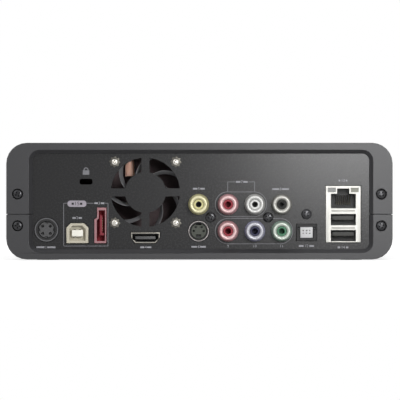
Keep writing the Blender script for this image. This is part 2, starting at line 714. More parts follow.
def cropped_rectangle(width, height, chamfer, middle=(0.0, 0.0)):
    """Points of a rectangle whose two upper corners are cut off."""
    x, z = middle
    half, top, bottom = width / 2, z + height / 2, z - height / 2
    return [
        (x + half, bottom), (x + half, top - chamfer), (x + half - chamfer, top),
        (x - half + chamfer, top), (x - half, top - chamfer), (x - half, bottom),
    ]


def ring_window(rim, disc, spoke, quarter, middle):
    """Points of one opening between a disc, a round rim and two spokes."""
    steps = CORNER_STEPS
    points = []
    for diameter, way in ((rim, 1), (disc, -1)):
        start = math.asin(spoke / diameter)
        sweep = math.pi / 2 - 2 * start
        for i in range(steps + 1):
            share = i / steps if way > 0 else 1 - i / steps
            angle = quarter * math.pi / 2 + start + sweep * share
            points.append((
                middle[0] + diameter / 2 * math.cos(angle),
                middle[1] + diameter / 2 * math.sin(angle),
            ))
    return points


def case_outline(inset=0.0):
    """The case's own outline, or one that lies inside it all round."""
    return rounded_rectangle(
        CASE_WIDTH - 2 * inset, CASE_HEIGHT - 2 * inset, CASE_CORNER - inset, (0.0, CASE_MIDDLE)
    )


def half_outline(upper):
    """The part of the case's outline over, or under, the seam between the covers."""
    seam = SEAM + FIT / 2 if upper else SEAM - FIT / 2
    half = CASE_WIDTH / 2
    kept = [p for p in case_outline() if (p[1] > seam if upper else p[1] < seam)]
    ends = [(half, seam), (-half, seam)]
    if upper:
        return [ends[0], *kept, ends[1]]
    return [ends[1], *kept, ends[0]]


def power_ring(grow=0.0):
    return circle(POWER_RING + 2 * grow, (POWER_X, POWER_Z))


def device_face(grow=0.0):
    middle = (DEVICE_X, SEAT + DEVICE_HEIGHT / 2)
    return cropped_rectangle(
        DEVICE_WIDTH + 2 * grow, DEVICE_HEIGHT + 2 * grow, DEVICE_CHAMFER, middle
    )


def drive_face(grow=0.0):
    """The upright port's outline, drawn in at its upper corner beside the device port."""
    half = DRIVE_PORT_WIDTH / 2 + grow
    inner = half - DRIVE_KEY_INSET
    low, high = SEAT - grow, SEAT + DRIVE_PORT_HEIGHT + grow
    step = high - DRIVE_KEY_HEIGHT
    points = [(-half, low), (half, low), (half, step), (inner, step + DRIVE_KEY_SLOPE),
              (inner, high), (-half, high)]
    return [(DRIVE_PORT_X + x, z) for x, z in points]


def av_face(grow=0.0):
    """The flat port's outline, wide above and drawn in below."""
    half, rise = AV_WIDTH / 2 + grow, AV_HEIGHT / 2 + grow
    foot = half - AV_INSET
    side = rise - AV_SIDE
    return [
        (FAN_X + half, AV_AXIS + side), (FAN_X + half, AV_AXIS + rise),
        (FAN_X - half, AV_AXIS + rise), (FAN_X - half, AV_AXIS + side),
        (FAN_X - foot, AV_AXIS - rise), (FAN_X + foot, AV_AXIS - rise),
    ]


def video_face(grow=0.0):
    return circle(VIDEO_SOCKET_RING + 2 * grow, (VIDEO_X, JACK_LOWER))


def optical_face(grow=0.0):
    return rectangle(OPTICAL_WIDTH + 2 * grow, OPTICAL_HEIGHT + 2 * grow, (OPTICAL_X, OPTICAL_Z))


def network_face(grow=0.0):
    return rectangle(NETWORK_WIDTH + 2 * grow, NETWORK_HEIGHT + 2 * grow, (NETWORK_X, NETWORK_Z))


def network_mouth():
    """The network opening with the notch for the plug's latch over it."""
    top = NETWORK_Z + NETWORK_HEIGHT / 2
    middle = top - NETWORK_MOUTH_DROP
    half, notch = NETWORK_MOUTH_WIDTH / 2, NETWORK_NOTCH_WIDTH / 2
    high, low = middle + NETWORK_MOUTH_HEIGHT / 2, middle - NETWORK_MOUTH_HEIGHT / 2
    peak = high + NETWORK_NOTCH_HEIGHT
    return [
        (NETWORK_X + half, low), (NETWORK_X + half, high), (NETWORK_X + notch, high),
        (NETWORK_X + notch, peak), (NETWORK_X - notch, peak), (NETWORK_X - notch, high),
        (NETWORK_X - half, high), (NETWORK_X - half, low),
    ]


def twin_mouths():
    """The middles of the two flat openings under the network opening."""
    low = NETWORK_Z - NETWORK_HEIGHT / 2 + TWIN_LOWER_RISE
    return [(NETWORK_X, low), (NETWORK_X, low + TWIN_PITCH)]


def jack_places():
    """Name of each round jack and its middle on the rear panel."""
    places = {"video": (VIDEO_X, JACK_UPPER)}
    names = (("audio_right", "component_red"), ("audio_left", "component_blue"),
             ("coaxial", "component_green"))
    for column, (upper, lower) in enumerate(names):
        x = AUDIO_X - column * JACK_PITCH
        places[upper] = (x, JACK_UPPER)
        places[lower] = (x, JACK_LOWER)
    return places


def panel_screw_places():
    """Two screws between the jacks and one over the optical port."""
    first = (VIDEO_X + AUDIO_X) / 2 + GAP_VIDEO_AUDIO
    second = AUDIO_X - (AUDIO_COLUMNS - 1 - 1 / 2) * JACK_PITCH
    third = OPTICAL_TOP - OPTICAL_SCREW_DROP
    return [(first, PANEL_SCREW_ROW), (second, PANEL_SCREW_ROW), (OPTICAL_X, third)]


def cover_screw_places():
    """Two screws on each side of the rim, one over and one under the seam."""
    x = CASE_WIDTH / 2 - COVER_SCREW_INSET
    heights = (SEAM + COVER_SCREW_ABOVE_SEAM, SEAM - COVER_SCREW_BELOW_SEAM)
    return [(side * x, z) for side in (1, -1) for z in heights]


def fan_screw_places():
    half = FAN_HOLE_SPREAD / 2
    return [(FAN_X + side * half, FAN_AXIS + rise * half) for rise in (1, -1) for side in (1, -1)]


def foot_places():
    x = CASE_WIDTH / 2 - FOOT_INSET
    front, rear = COVER_FRONT + FOOT_INSET, COVER_REAR - FOOT_INSET
    return [(side * x, y) for y in (front, rear) for side in (-1, 1)]


def boss_places():
    """Four bosses under the corners of the main board."""
    x = CASE_WIDTH / 2 - WALL - BOARD_SIDE_GAP - BOSS_DIAMETER
    front = COVER_FRONT + BOARD_FRONT_GAP + BOSS_DIAMETER
    rear = BEHIND_PANEL - BOSS_DIAMETER
    return [(side * x, y) for y in (front, rear) for side in (-1, 1)]


COVER_GREY = material("satin_grey_abs", (0.085, 0.085, 0.087), 0.42)
PANEL_BLACK = material("black_painted_steel", (0.032, 0.032, 0.033), 0.38)
BEZEL_BLACK = material("gloss_black_abs", (0.008, 0.008, 0.009), 0.12)
TRAY_BLACK = material("matte_black_abs", (0.020, 0.020, 0.021), 0.5)
RUBBER = material("black_rubber", (0.012, 0.012, 0.012), 0.85)
STEEL = material("zinc_plated_steel", (0.55, 0.56, 0.57), 0.35, 1.0)
NICKEL = material("nickel_plate", (0.72, 0.71, 0.69), 0.22, 1.0)
BLACK_STEEL = material("black_screw_steel", (0.020, 0.020, 0.021), 0.35, 0.6)
ALUMINIUM = material("cast_aluminium", (0.60, 0.61, 0.62), 0.4, 1.0)
SOCKET_BLACK = material("socket_black_nylon", (0.015, 0.015, 0.015), 0.45)
BOARD_GREEN = material("green_circuit_board", (0.012, 0.10, 0.035), 0.45)
COPPER = material("enamelled_copper", (0.60, 0.24, 0.10), 0.35, 1.0)
SMOKED = material("smoked_acrylic", (0.010, 0.010, 0.012), 0.06, 0.0, 0.45)


def make_covers():
    """Two moulded half shells that share one hollow, one rear rim and its four screw wells."""
    hollow = outline_solid("case_hollow", [case_outline(WALL)], COVER_FRONT - OVERRUN, RIM_INNER)
    width, height = CASE_WIDTH - 2 * RIM_SIDE, RIM_HEIGHT
    middle = (-RIM_SHIFT, RIM_MIDDLE)
    wide = rounded_rectangle(width, height, RIM_INNER_CORNER, middle)
    narrow = rounded_rectangle(
        width - 2 * RIM_SLOPE, height - 2 * RIM_SLOPE, RIM_INNER_CORNER - RIM_SLOPE, middle
    )
    opening = loft("rim_opening", [
        (narrow, RIM_INNER - OVERRUN), (narrow, RIM_INNER),
        (wide, COVER_REAR), (wide, COVER_REAR + OVERRUN),
    ])
    wells = []
    for number, place in enumerate(cover_screw_places()):
        well = COVER_SCREW_HEAD + 2 * FIT
        hole = COVER_SCREW_SHANK + 2 * FIT
        floor = COVER_REAR - COVER_SCREW_SINK
        wells.append(turned(f"screw_well_{number}", [
            (0.0, OVERRUN), (well / 2, OVERRUN), (well / 2, floor - COVER_REAR),
            (hole / 2, floor - COVER_REAR), (hole / 2, -RIM_DEPTH - OVERRUN),
            (0.0, -RIM_DEPTH - OVERRUN),
        ], COVER_REAR, place, "rear", SMALL_SIDES))
    wells = together("screw_wells", wells)

    top = outline_solid("top_cover", [half_outline(True)], COVER_FRONT, COVER_REAR)
    slots = []
    for number in range(VENT_COUNT):
        y = (number - (VENT_COUNT - 1) / 2) * VENT_PITCH
        low = SEAM + VENT_OVER_SEAM
        reach = CASE_WIDTH / 2 + OVERRUN
        slots.append(block(
            f"vent_{number}", (-reach, y - VENT_WIDTH / 2, low),
            (reach, y + VENT_WIDTH / 2, low + VENT_LENGTH),
        ))
    cut(top, hollow, opening, wells, together("vents", slots))
    finish_with(top, COVER_GREY)

    base = outline_solid("base_cover", [half_outline(False)], COVER_FRONT, COVER_REAR)
    pockets = together("foot_pockets", [
        rod(f"foot_pocket_{n}", FOOT_DIAMETER / 2 + FIT, UNDERSIDE - OVERRUN,
            UNDERSIDE + FOOT_POCKET, place, "up")
        for n, place in enumerate(foot_places())
    ])
    bosses = together("board_bosses", [
        rod(f"board_boss_{n}", BOSS_DIAMETER / 2, FLOOR - WALL / 2, BOARD_UNDERSIDE - FIT,
            place, "up", SMALL_SIDES)
        for n, place in enumerate(boss_places())
    ])
    cut(base, hollow, opening, wells, pockets)
    fuse(base, bosses)
    finish_with(base, COVER_GREY)


def make_feet():
    """Thin rubber feet set in the pockets of the base cover."""
    for number, place in enumerate(foot_places()):
        radius, height = FOOT_DIAMETER / 2, FOOT_PROUD + FOOT_POCKET - FIT
        edge = FIT
        foot = turned(f"foot_{number + 1}", [
            (0.0, height), (radius, height), (radius, edge), (radius - edge, 0.0), (0.0, 0.0),
        ], 0.0, place, "up")
        finish_with(foot, RUBBER)


def make_rear_panel():
    """A steel sheet behind the rim, pierced for the fan, each socket and each screw."""
    fan = (FAN_X, FAN_AXIS)
    screw_hole = COVER_SCREW_SHANK + 2 * FIT
    outlines = [case_outline(WALL + FIT)]
    outlines += [ring_window(GRILLE_OPENING, GRILLE_DISC, GRILLE_SPOKE, q, fan) for q in range(4)]
    outlines += [circle(FAN_SCREW_SHANK + 2 * FIT, p, SMALL_SIDES) for p in fan_screw_places()]
    outlines += [circle(screw_hole, p, SMALL_SIDES) for p in cover_screw_places()]
    outlines += [circle(PANEL_SCREW_SHANK + 2 * FIT, p, SMALL_SIDES) for p in panel_screw_places()]
    outlines += [circle(JACK_BARREL + 2 * FIT, p) for p in jack_places().values()]
    outlines += [face(FIT) for face in (
        power_ring, device_face, drive_face, av_face, video_face, optical_face, network_face
    )]
    outlines.append(
        rounded_rectangle(LOCK_WIDTH, LOCK_HEIGHT, LOCK_CORNER, (LOCK_X, LOCK_Z), steps=2)
    )
    panel = outline_solid("rear_panel", outlines, PANEL_INNER, PANEL_OUTER)
    finish_with(panel, PANEL_BLACK)


def make_screw(name, head, head_height, shank, reach, seat, place, finish):
    """A pan-head screw whose head rests on a seat that faces the rear."""
    dome = SCREW_DOME_SHARE * head / 2
    screw = turned(name, [
        (0.0, FIT + head_height), (dome, FIT + head_height), (head / 2, FIT + head_height / 2),
        (head / 2, FIT), (shank / 2, FIT), (shank / 2, -reach), (0.0, -reach),
    ], seat, place, "rear", SMALL_SIDES)
    finish_with(screw, finish)


def make_screws():
    """The cover screws in their wells, the panel's screws and the fan's screws."""
    floor = COVER_REAR - COVER_SCREW_SINK
    for number, place in enumerate(cover_screw_places()):
        make_screw(f"cover_screw_{number + 1}", COVER_SCREW_HEAD, COVER_SCREW_HEAD_HEIGHT,
                   COVER_SCREW_SHANK, floor - PANEL_INNER + COVER_SCREW_REACH, floor, place,
                   BLACK_STEEL)
    for number, place in enumerate(panel_screw_places()):
        make_screw(f"panel_screw_{number + 1}", PANEL_SCREW_HEAD, PANEL_SCREW_HEAD_HEIGHT,
                   PANEL_SCREW_SHANK, PANEL_SCREW_LENGTH, PANEL_OUTER, place, BLACK_STEEL)
    for number, place in enumerate(fan_screw_places()):
        make_screw(f"fan_screw_{number + 1}", FAN_SCREW_HEAD, FAN_SCREW_HEAD_HEIGHT,
                   FAN_SCREW_SHANK, PANEL_SHEET + FIT + FAN_DEPTH + FAN_SCREW_SPARE, PANEL_OUTER,
                   place, NICKEL)


def make_fan_frame():
    """A square frame whose back plate carries the motor stub on four struts."""
    fan = (FAN_X, FAN_AXIS)
    back = BEHIND_PANEL - FAN_DEPTH
    plate = back + FAN_BACK
    square = rounded_rectangle(FAN_SIZE, FAN_SIZE, FAN_CORNER, fan)
    holes = [circle(FAN_SCREW_SHANK + 2 * FIT, p, SMALL_SIDES) for p in fan_screw_places()]
    frame = outline_solid("fan_frame", [square, *holes], back, BEHIND_PANEL)
    bore = rod("fan_bore", FAN_BORE / 2, plate, BEHIND_PANEL + OVERRUN, fan, sides=BORE_SIDES)
    windows = together("fan_windows", [
        outline_solid(f"fan_window_{q}", [ring_window(
            FAN_BORE - 2 * FAN_LIP, FAN_STUB + 2 * FAN_LIP, FAN_STRUT, q, fan
        )], back - OVERRUN, plate + OVERRUN)
        for q in range(4)
    ])
    stub = rod("fan_stub", FAN_STUB / 2, plate - FAN_BACK / 2, plate + FAN_STUB_HEIGHT, fan)
    bearing = rod("fan_bearing", FAN_SHAFT / 2 + FIT, plate + FIT,
                  plate + FAN_STUB_HEIGHT + OVERRUN, fan, sides=SMALL_SIDES)
    cut(frame, bore, windows)
    fuse(frame, stub)
    cut(frame, bearing)
    finish_with(frame, TRAY_BLACK)


def blade(name, number, root, tip, low):
    """One pitched blade, from inside the hub's wall out to near the bore."""
    shape = bmesh.new()
    rings = []
    for radius in (root, (root + tip) / 2, tip):
        turn = 2 * math.pi * number / FAN_BLADES
        sheet = FAN_BLADE_SHEET / radius
        corners = []
        for rise, angle in ((0.0, 0.0), (1.0, FAN_BLADE_SWEEP)):
            for side in (0.0, 1.0) if rise == 0.0 else (1.0, 0.0):
                a = turn + angle + side * sheet
                corners.append(shape.verts.new((
                    radius * math.cos(a), radius * math.sin(a), low + rise * FAN_BLADE_TRAVEL
                )))
        rings.append(corners)
    for inner, outer in zip(rings, rings[1:]):
        for i in range(4):
            j = (i + 1) % 4
            shape.faces.new((inner[i], inner[j], outer[j], outer[i]))
    shape.faces.new(rings[0])
    shape.faces.new(rings[-1])
    bmesh.ops.recalc_face_normals(shape, faces=shape.faces)
    mesh = bpy.data.meshes.new(name)
    shape.to_mesh(mesh)
    shape.free()
    return new_piece(name, mesh, placed("rear", 0.0, (0.0, 0.0)))


def make_fan_rotor():
    """The bladed cup that turns on its shaft in the motor stub."""
    cap = BEHIND_PANEL - FAN_FACE_GAP
    stub_top = BEHIND_PANEL - FAN_DEPTH + FAN_BACK + FAN_STUB_HEIGHT
    rim = BEHIND_PANEL - FAN_DEPTH + FAN_BACK + FAN_FACE_GAP
    outer, inner = FAN_HUB / 2, FAN_HUB / 2 - FAN_HUB_WALL
    shaft_end = stub_top - FAN_STUB_HEIGHT + 2 * FIT
    rotor = turned("fan_rotor", [
        (0.0, 0.0), (outer - FAN_BLADE_SHEET, 0.0), (outer, -FAN_BLADE_SHEET), (outer, rim - cap),
        (inner, rim - cap), (inner, -FAN_HUB_CAP), (FAN_SHAFT / 2, -FAN_HUB_CAP),
        (FAN_SHAFT / 2, shaft_end - cap), (0.0, shaft_end - cap),
    ], cap, (FAN_X, FAN_AXIS), "rear")
    root, tip = outer - FAN_HUB_WALL / 2, FAN_BORE / 2 - FAN_TIP_GAP
    low = -FAN_BLADE_TRAVEL - FAN_BLADE_MARGIN
    blades = together("fan_blades", [
        blade(f"fan_blade_{n}", n, root, tip, low) for n in range(FAN_BLADES)
    ])
    blades.matrix_world = Matrix.Translation((FAN_X, cap, FAN_AXIS))
    fuse(rotor, blades)
    finish_with(rotor, TRAY_BLACK)


def make_power_socket():
    """A round socket with four pins, on a block that stands on the board."""
    half = POWER_BODY_WIDTH / 2
    socket = block("power_socket", (POWER_X - half, BEHIND_PANEL - POWER_BODY_DEPTH, SEAT),
                   (POWER_X + half, BEHIND_PANEL, POWER_Z + half))
    place = (POWER_X, POWER_Z)
    floor = SOCKET_FACE - POWER_BORE_DEPTH
    nose = rod("power_nose", POWER_RING / 2, BEHIND_PANEL - OVERRUN, SOCKET_FACE, place)
    bore = rod("power_bore", POWER_BORE / 2, floor, SOCKET_FACE + OVERRUN, place)
    pins = together("power_pins", [
        rod(f"power_pin_{side}_{rise}", POWER_PIN / 2, floor - OVERRUN, floor + POWER_PIN_LENGTH,
            (POWER_X + side * POWER_PIN_SPREAD / 2, POWER_Z + rise * POWER_PIN_SPREAD / 2), sides=8)
        for side in (-1, 1) for rise in (-1, 1)
    ])
    fuse(socket, nose)
    cut(socket, bore)
    fuse(socket, pins)
    finish_with(socket, SOCKET_BLACK)


def make_device_port():
    """A square port with chamfered upper corners and a block of contacts in its mouth."""
    middle = (DEVICE_X, SEAT + DEVICE_HEIGHT / 2)
    port = outline_solid("device_port", [device_face()], BEHIND_PANEL - DEVICE_DEPTH, SOCKET_FACE)
    floor = SOCKET_FACE - DEVICE_MOUTH_DEPTH
    mouth = outline_solid("device_mouth", [cropped_rectangle(
        DEVICE_MOUTH_WIDTH, DEVICE_MOUTH_HEIGHT, DEVICE_MOUTH_CHAMFER, middle
    )], floor, SOCKET_FACE + OVERRUN)
    tongue = outline_solid(
        "device_tongue", [rectangle(DEVICE_TONGUE_WIDTH, DEVICE_TONGUE_HEIGHT, middle)],
        floor - OVERRUN, SOCKET_FACE - DEVICE_TONGUE_SHORT,
    )
    cut(port, mouth)
    fuse(port, tongue)
    finish_with(port, material("ivory_nylon", (0.66, 0.60, 0.48), 0.45))


def make_drive_port():
    """An upright red port with an L-shaped tongue."""
    port = outline_solid("drive_port", [drive_face()], BEHIND_PANEL - DRIVE_PORT_DEPTH, SOCKET_FACE)
    floor = SOCKET_FACE - DRIVE_PORT_MOUTH_DEPTH
    middle = (DRIVE_PORT_X, SEAT + DRIVE_PORT_HEIGHT / 2)
    mouth = outline_solid("drive_mouth", [drive_face(-DRIVE_PORT_LIP)], floor,
                          SOCKET_FACE + OVERRUN)
    x, half = DRIVE_PORT_X + DRIVE_TONGUE_SHEET / 2, DRIVE_TONGUE_HEIGHT / 2
    foot = x - DRIVE_TONGUE_FOOT
    inner = x - DRIVE_TONGUE_SHEET
    low, high = middle[1] - half, middle[1] + half
    tongue = outline_solid("drive_tongue", [[
        (x, low), (x, high), (inner, high), (inner, low + DRIVE_TONGUE_SHEET),
        (foot, low + DRIVE_TONGUE_SHEET), (foot, low),
    ]], floor - OVERRUN, SOCKET_FACE - DRIVE_TONGUE_SHORT)
    cut(port, mouth)
    fuse(port, tongue)
    finish_with(port, material("red_nylon", (0.42, 0.02, 0.03), 0.4))


def make_av_port():
    """A flat port, wider above than below, with a thin tongue across its mouth."""
    port = outline_solid("av_port", [av_face()], BEHIND_PANEL - AV_DEPTH, SOCKET_FACE)
    floor = SOCKET_FACE - AV_MOUTH_DEPTH
    mouth = outline_solid("av_mouth", [av_face(-AV_LIP)], floor, SOCKET_FACE + OVERRUN)
    tongue = outline_solid(
        "av_tongue", [rectangle(AV_TONGUE_WIDTH, AV_TONGUE_SHEET, (FAN_X, AV_AXIS))],
        floor - OVERRUN, SOCKET_FACE - AV_TONGUE_SHORT,
    )
    cut(port, mouth)
    fuse(port, tongue)
    finish_with(port, NICKEL)


def make_round_video_socket():
    """A small round socket with four pins and a key, on a block that stands on the board."""
    place = (VIDEO_X, JACK_LOWER)
    half = VIDEO_SOCKET_BODY / 2
    top = JACK_LOWER + VIDEO_SOCKET_RING / 2 - VIDEO_SOCKET_TOP_GAP
    socket = block("round_video_socket", (VIDEO_X - half, BEHIND_PANEL - VIDEO_SOCKET_DEPTH, SEAT),
                   (VIDEO_X + half, BEHIND_PANEL, top))
    nose = outline_solid("video_nose", [video_face()], BEHIND_PANEL - FIT, SOCKET_FACE)
    floor = SOCKET_FACE - VIDEO_SOCKET_BORE_DEPTH
    bore = rod("video_bore", VIDEO_SOCKET_BORE / 2, floor, SOCKET_FACE + OVERRUN, place)
    spread = VIDEO_PIN_SPREAD / 2
    pins = [
        rod(f"video_pin_{side}_{rise}", VIDEO_PIN / 2, floor - OVERRUN, floor + VIDEO_PIN_LENGTH,
            (VIDEO_X + side * spread, JACK_LOWER + rise * spread), sides=8)
        for side in (-1, 1) for rise in (-1, 1)
    ]
    key = outline_solid("video_key", [rectangle(
        VIDEO_KEY_WIDTH, VIDEO_KEY_HEIGHT,
        (VIDEO_X, JACK_LOWER - VIDEO_SOCKET_BORE / 2 + VIDEO_KEY_HEIGHT)
    )], floor - OVERRUN, floor + VIDEO_PIN_LENGTH)
    fuse(socket, nose)
    cut(socket, bore)
    fuse(socket, together("video_pins", [*pins, key]))
    finish_with(socket, SOCKET_BLACK)


def jack_region(low, grow):
    """The stepped outline that covers the round jacks, its video part no lower than low."""
    right = VIDEO_X + JACK_PITCH / 2 + grow
    step = AUDIO_X + JACK_PITCH / 2 + grow
    left = LAST_AUDIO_X - JACK_PITCH / 2 - grow
    top = JACK_UPPER + JACK_PITCH / 2 + grow
    return [(right, low), (right, top), (left, top), (left, SEAT), (step, SEAT), (step, low)]


def make_jacks():
    """Nickel barrels on one plate, coloured sleeves in them, and the housing behind."""
    places = jack_places()
    tip = PANEL_OUTER + JACK_REACH
    plate_back = BEHIND_PANEL - JACK_PLATE_SHEET
    plate_low = JACK_UPPER - JACK_BARREL / 2 - JACK_MARGIN
    plate = outline_solid("jack_ground_plate", [jack_region(plate_low, -JACK_MARGIN)], plate_back,
                          BEHIND_PANEL)
    barrels = together("jack_barrels", [
        rod(f"barrel_{name}", JACK_BARREL / 2, plate_back + JACK_PLATE_SHEET / 2, tip, place)
        for name, place in places.items()
    ])
    bores = [
        rod(f"bore_{name}", JACK_BORE / 2, plate_back - OVERRUN, tip + OVERRUN, place)
        for name, place in places.items()
    ]
    holes = [
        rod(f"plate_hole_{n}", PANEL_SCREW_SHANK / 2 + FIT, plate_back - OVERRUN,
            BEHIND_PANEL + OVERRUN, place, sides=SMALL_SIDES)
        for n, place in enumerate(panel_screw_places()[1:2])
    ]
    fuse(plate, barrels)
    cut(plate, together("jack_bores", [*bores, *holes]))
    finish_with(plate, NICKEL)

    front = plate_back - FIT
    low = JACK_LOWER + VIDEO_SOCKET_RING / 2 - VIDEO_SOCKET_TOP_GAP + FIT
    housing = outline_solid("jack_housing", [jack_region(low, 0.0)], front - JACK_HOUSING_DEPTH,
                            front)
    tails = [
        rod(f"tail_hole_{name}", JACK_BORE / 2, front - INSERT_TAIL - FIT, front + OVERRUN, place)
        for name, place in places.items()
    ]
    threads = [
        rod(f"thread_{n}", PANEL_SCREW_SHANK / 2 + FIT, PANEL_OUTER - PANEL_SCREW_LENGTH - FIT,
            front + OVERRUN, place, sides=SMALL_SIDES)
        for n, place in enumerate(panel_screw_places()[:2])
    ]
    cut(housing, together("housing_holes", [*tails, *threads]))
    finish_with(housing, SOCKET_BLACK)

    colours = {
        "video": ("yellow_nylon", (0.80, 0.62, 0.02)), "audio_right": ("red_nylon", (0.42, 0.02, 0.03)),
        "component_red": ("red_nylon", (0.42, 0.02, 0.03)), "audio_left": ("white_nylon", (0.75, 0.75, 0.74)),
        "component_blue": ("blue_nylon", (0.03, 0.06, 0.42)), "coaxial": ("black_nylon", (0.01, 0.01, 0.01)),
        "component_green": ("green_nylon", (0.02, 0.30, 0.08)),
    }
    sleeve = JACK_BORE / 2 - FIT
    face = tip - INSERT_SINK
    for name, place in places.items():
        bore, back = INSERT_HOLE / 2, front - INSERT_TAIL - face
        insert = turned(f"jack_insert_{name}", [
            (0.0, -INSERT_HOLE_DEPTH), (bore, -INSERT_HOLE_DEPTH), (bore, 0.0), (sleeve, 0.0),
            (sleeve, back), (0.0, back),
        ], face, place, "rear", SMALL_SIDES)
        colour_name, colour = colours[name]
        finish_with(insert, material(colour_name, colour, 0.4))


def shutter_axis():
    """Where the shutter's pin lies: just behind the mouth's upper edge."""
    y = SOCKET_FACE - SHUTTER_SINK - SHUTTER_SHEET / 2
    z = OPTICAL_Z + OPTICAL_MOUTH_HEIGHT / 2 - SHUTTER_PIN / 2 - FIT
    return y, z


def make_optical_port():
    """A black housing with a lug for its screw, and the sprung shutter in its mouth."""
    half = OPTICAL_WIDTH / 2
    port = block("optical_port", (OPTICAL_X - half, BEHIND_PANEL - OPTICAL_DEPTH, SEAT),
                 (OPTICAL_X + half, BEHIND_PANEL, OPTICAL_TOP))
    nose = outline_solid("optical_nose", [optical_face()], BEHIND_PANEL - OVERRUN, SOCKET_FACE)
    middle = (OPTICAL_X, OPTICAL_Z)
    mouth = outline_solid(
        "optical_mouth", [rectangle(OPTICAL_MOUTH_WIDTH, OPTICAL_MOUTH_HEIGHT, middle)],
        SOCKET_FACE - OPTICAL_MOUTH_DEPTH, SOCKET_FACE + OVERRUN,
    )
    y, z = shutter_axis()
    reach = OPTICAL_MOUTH_WIDTH / 2 + SHUTTER_PIN_REACH
    bearing = SHUTTER_PIN / 2 + FIT
    grooves = block("shutter_grooves", (OPTICAL_X - reach - FIT, y - bearing, z - bearing),
                    (OPTICAL_X + reach + FIT, SOCKET_FACE + OVERRUN, z + bearing))
    screw = panel_screw_places()[2]
    thread = rod("optical_thread", PANEL_SCREW_SHANK / 2 + FIT,
                 PANEL_OUTER - PANEL_SCREW_LENGTH - FIT, PANEL_OUTER, screw, sides=SMALL_SIDES)
    fuse(port, nose)
    cut(port, mouth, grooves, thread)
    finish_with(port, SOCKET_BLACK)

    pin = rod("optical_shutter", SHUTTER_PIN / 2, OPTICAL_X - reach, OPTICAL_X + reach, (y, z),
              "right", SMALL_SIDES)
    width = OPTICAL_MOUTH_WIDTH / 2 - FIT
    foot = OPTICAL_Z - OPTICAL_MOUTH_HEIGHT / 2 + SHUTTER_FOOT_GAP
    flap = block("shutter_flap", (OPTICAL_X - width, y - SHUTTER_SHEET / 2, foot),
                 (OPTICAL_X + width, y + SHUTTER_SHEET / 2, z))
    fuse(pin, flap)
    finish_with(pin, material("pale_grey_acetal", (0.62, 0.62, 0.62), 0.4))


def make_network_stack():
    """A nickel shell with three openings, and the moulded insert that fills it."""
    face = PANEL_OUTER + NETWORK_PROUD
    back = face - NETWORK_DEPTH
    twins = twin_mouths()
    shell = outline_solid("network_stack", [network_face()], back, face)
    inner = outline_solid("network_inside", [network_face(-NETWORK_SHEET)], back - OVERRUN,
                          face - NETWORK_SHEET)
    windows = together("network_windows", [
        outline_solid("network_window", [network_mouth()], face - OVERRUN, face + OVERRUN),
        *[outline_solid(f"twin_window_{n}", [rectangle(TWIN_WIDTH, TWIN_HEIGHT, place)],
                        face - OVERRUN, face + OVERRUN) for n, place in enumerate(twins)],
    ])
    cut(shell, inner, windows)
    finish_with(shell, NICKEL)

    front = face - NETWORK_SHEET - FIT
    insert = outline_solid("network_insert", [network_face(-NETWORK_SHEET - FIT)], back, front)
    mouths = together("insert_mouths", [
        outline_solid("insert_network_mouth", [network_mouth()], front - NETWORK_MOUTH_DEPTH,
                      front + OVERRUN),
        *[outline_solid(f"insert_twin_mouth_{n}", [rectangle(TWIN_WIDTH, TWIN_HEIGHT, place)],
                        front - TWIN_DEPTH, front + OVERRUN) for n, place in enumerate(twins)],
    ])
    drop = TWIN_HEIGHT / 2 - TWIN_TONGUE_DROP - TWIN_TONGUE_SHEET / 2
    tongues = together("insert_tongues", [
        outline_solid(f"insert_tongue_{n}",
                      [rectangle(TWIN_TONGUE_WIDTH, TWIN_TONGUE_SHEET, (x, z + drop))],
                      front - TWIN_DEPTH - OVERRUN, front - TWIN_TONGUE_SHORT)
        for n, (x, z) in enumerate(twins)
    ])
    cut(insert, mouths)
    fuse(insert, tongues)
    finish_with(insert, SOCKET_BLACK)


def make_main_board():
    """The board on its bosses, with its heatsink and its bulk capacitor."""
    half = CASE_WIDTH / 2 - WALL - BOARD_SIDE_GAP
    board = block("main_board", (-half, COVER_FRONT + BOARD_FRONT_GAP, BOARD_UNDERSIDE),
                  (half, BEHIND_PANEL - FIT, BOARD_TOP))
    finish_with(board, BOARD_GREEN)

    right = BAY_X - CAGE_OUTER / 2 - HEATSINK_FROM_BAY
    left = right - HEATSINK_SIZE
    pitch = (HEATSINK_SIZE - HEATSINK_FIN) / (HEATSINK_FINS - 1)
    low, high = SEAT + HEATSINK_BASE, SEAT + HEATSINK_HEIGHT
    comb = [(left, SEAT), (right, SEAT)]
    for number in reversed(range(HEATSINK_FINS)):
        x = left + number * pitch
        comb += [(x + HEATSINK_FIN, high), (x, high)]
        if number:
            comb += [(x, low), (x - pitch + HEATSINK_FIN, low)]
    heatsink = outline_solid("processor_heatsink", [comb], -HEATSINK_SIZE / 2, HEATSINK_SIZE / 2)
    finish_with(heatsink, ALUMINIUM)

    radius, neck = CAPACITOR_DIAMETER / 2, CAPACITOR_NECK
    place = (CASE_WIDTH / 2 - CAPACITOR_FROM_WALL, BACKPLANE_FRONT - CAPACITOR_FROM_WALL)
    capacitor = turned("bulk_capacitor", [
        (0.0, CAPACITOR_HEIGHT), (radius - neck, CAPACITOR_HEIGHT), (radius, CAPACITOR_HEIGHT - neck),
        (radius, 4 * neck), (radius - neck, 3 * neck), (radius, 2 * neck), (radius, 0.0), (0.0, 0.0),
    ], SEAT, place, "up")
    finish_with(capacitor, material("black_sleeve", (0.02, 0.02, 0.05), 0.3))


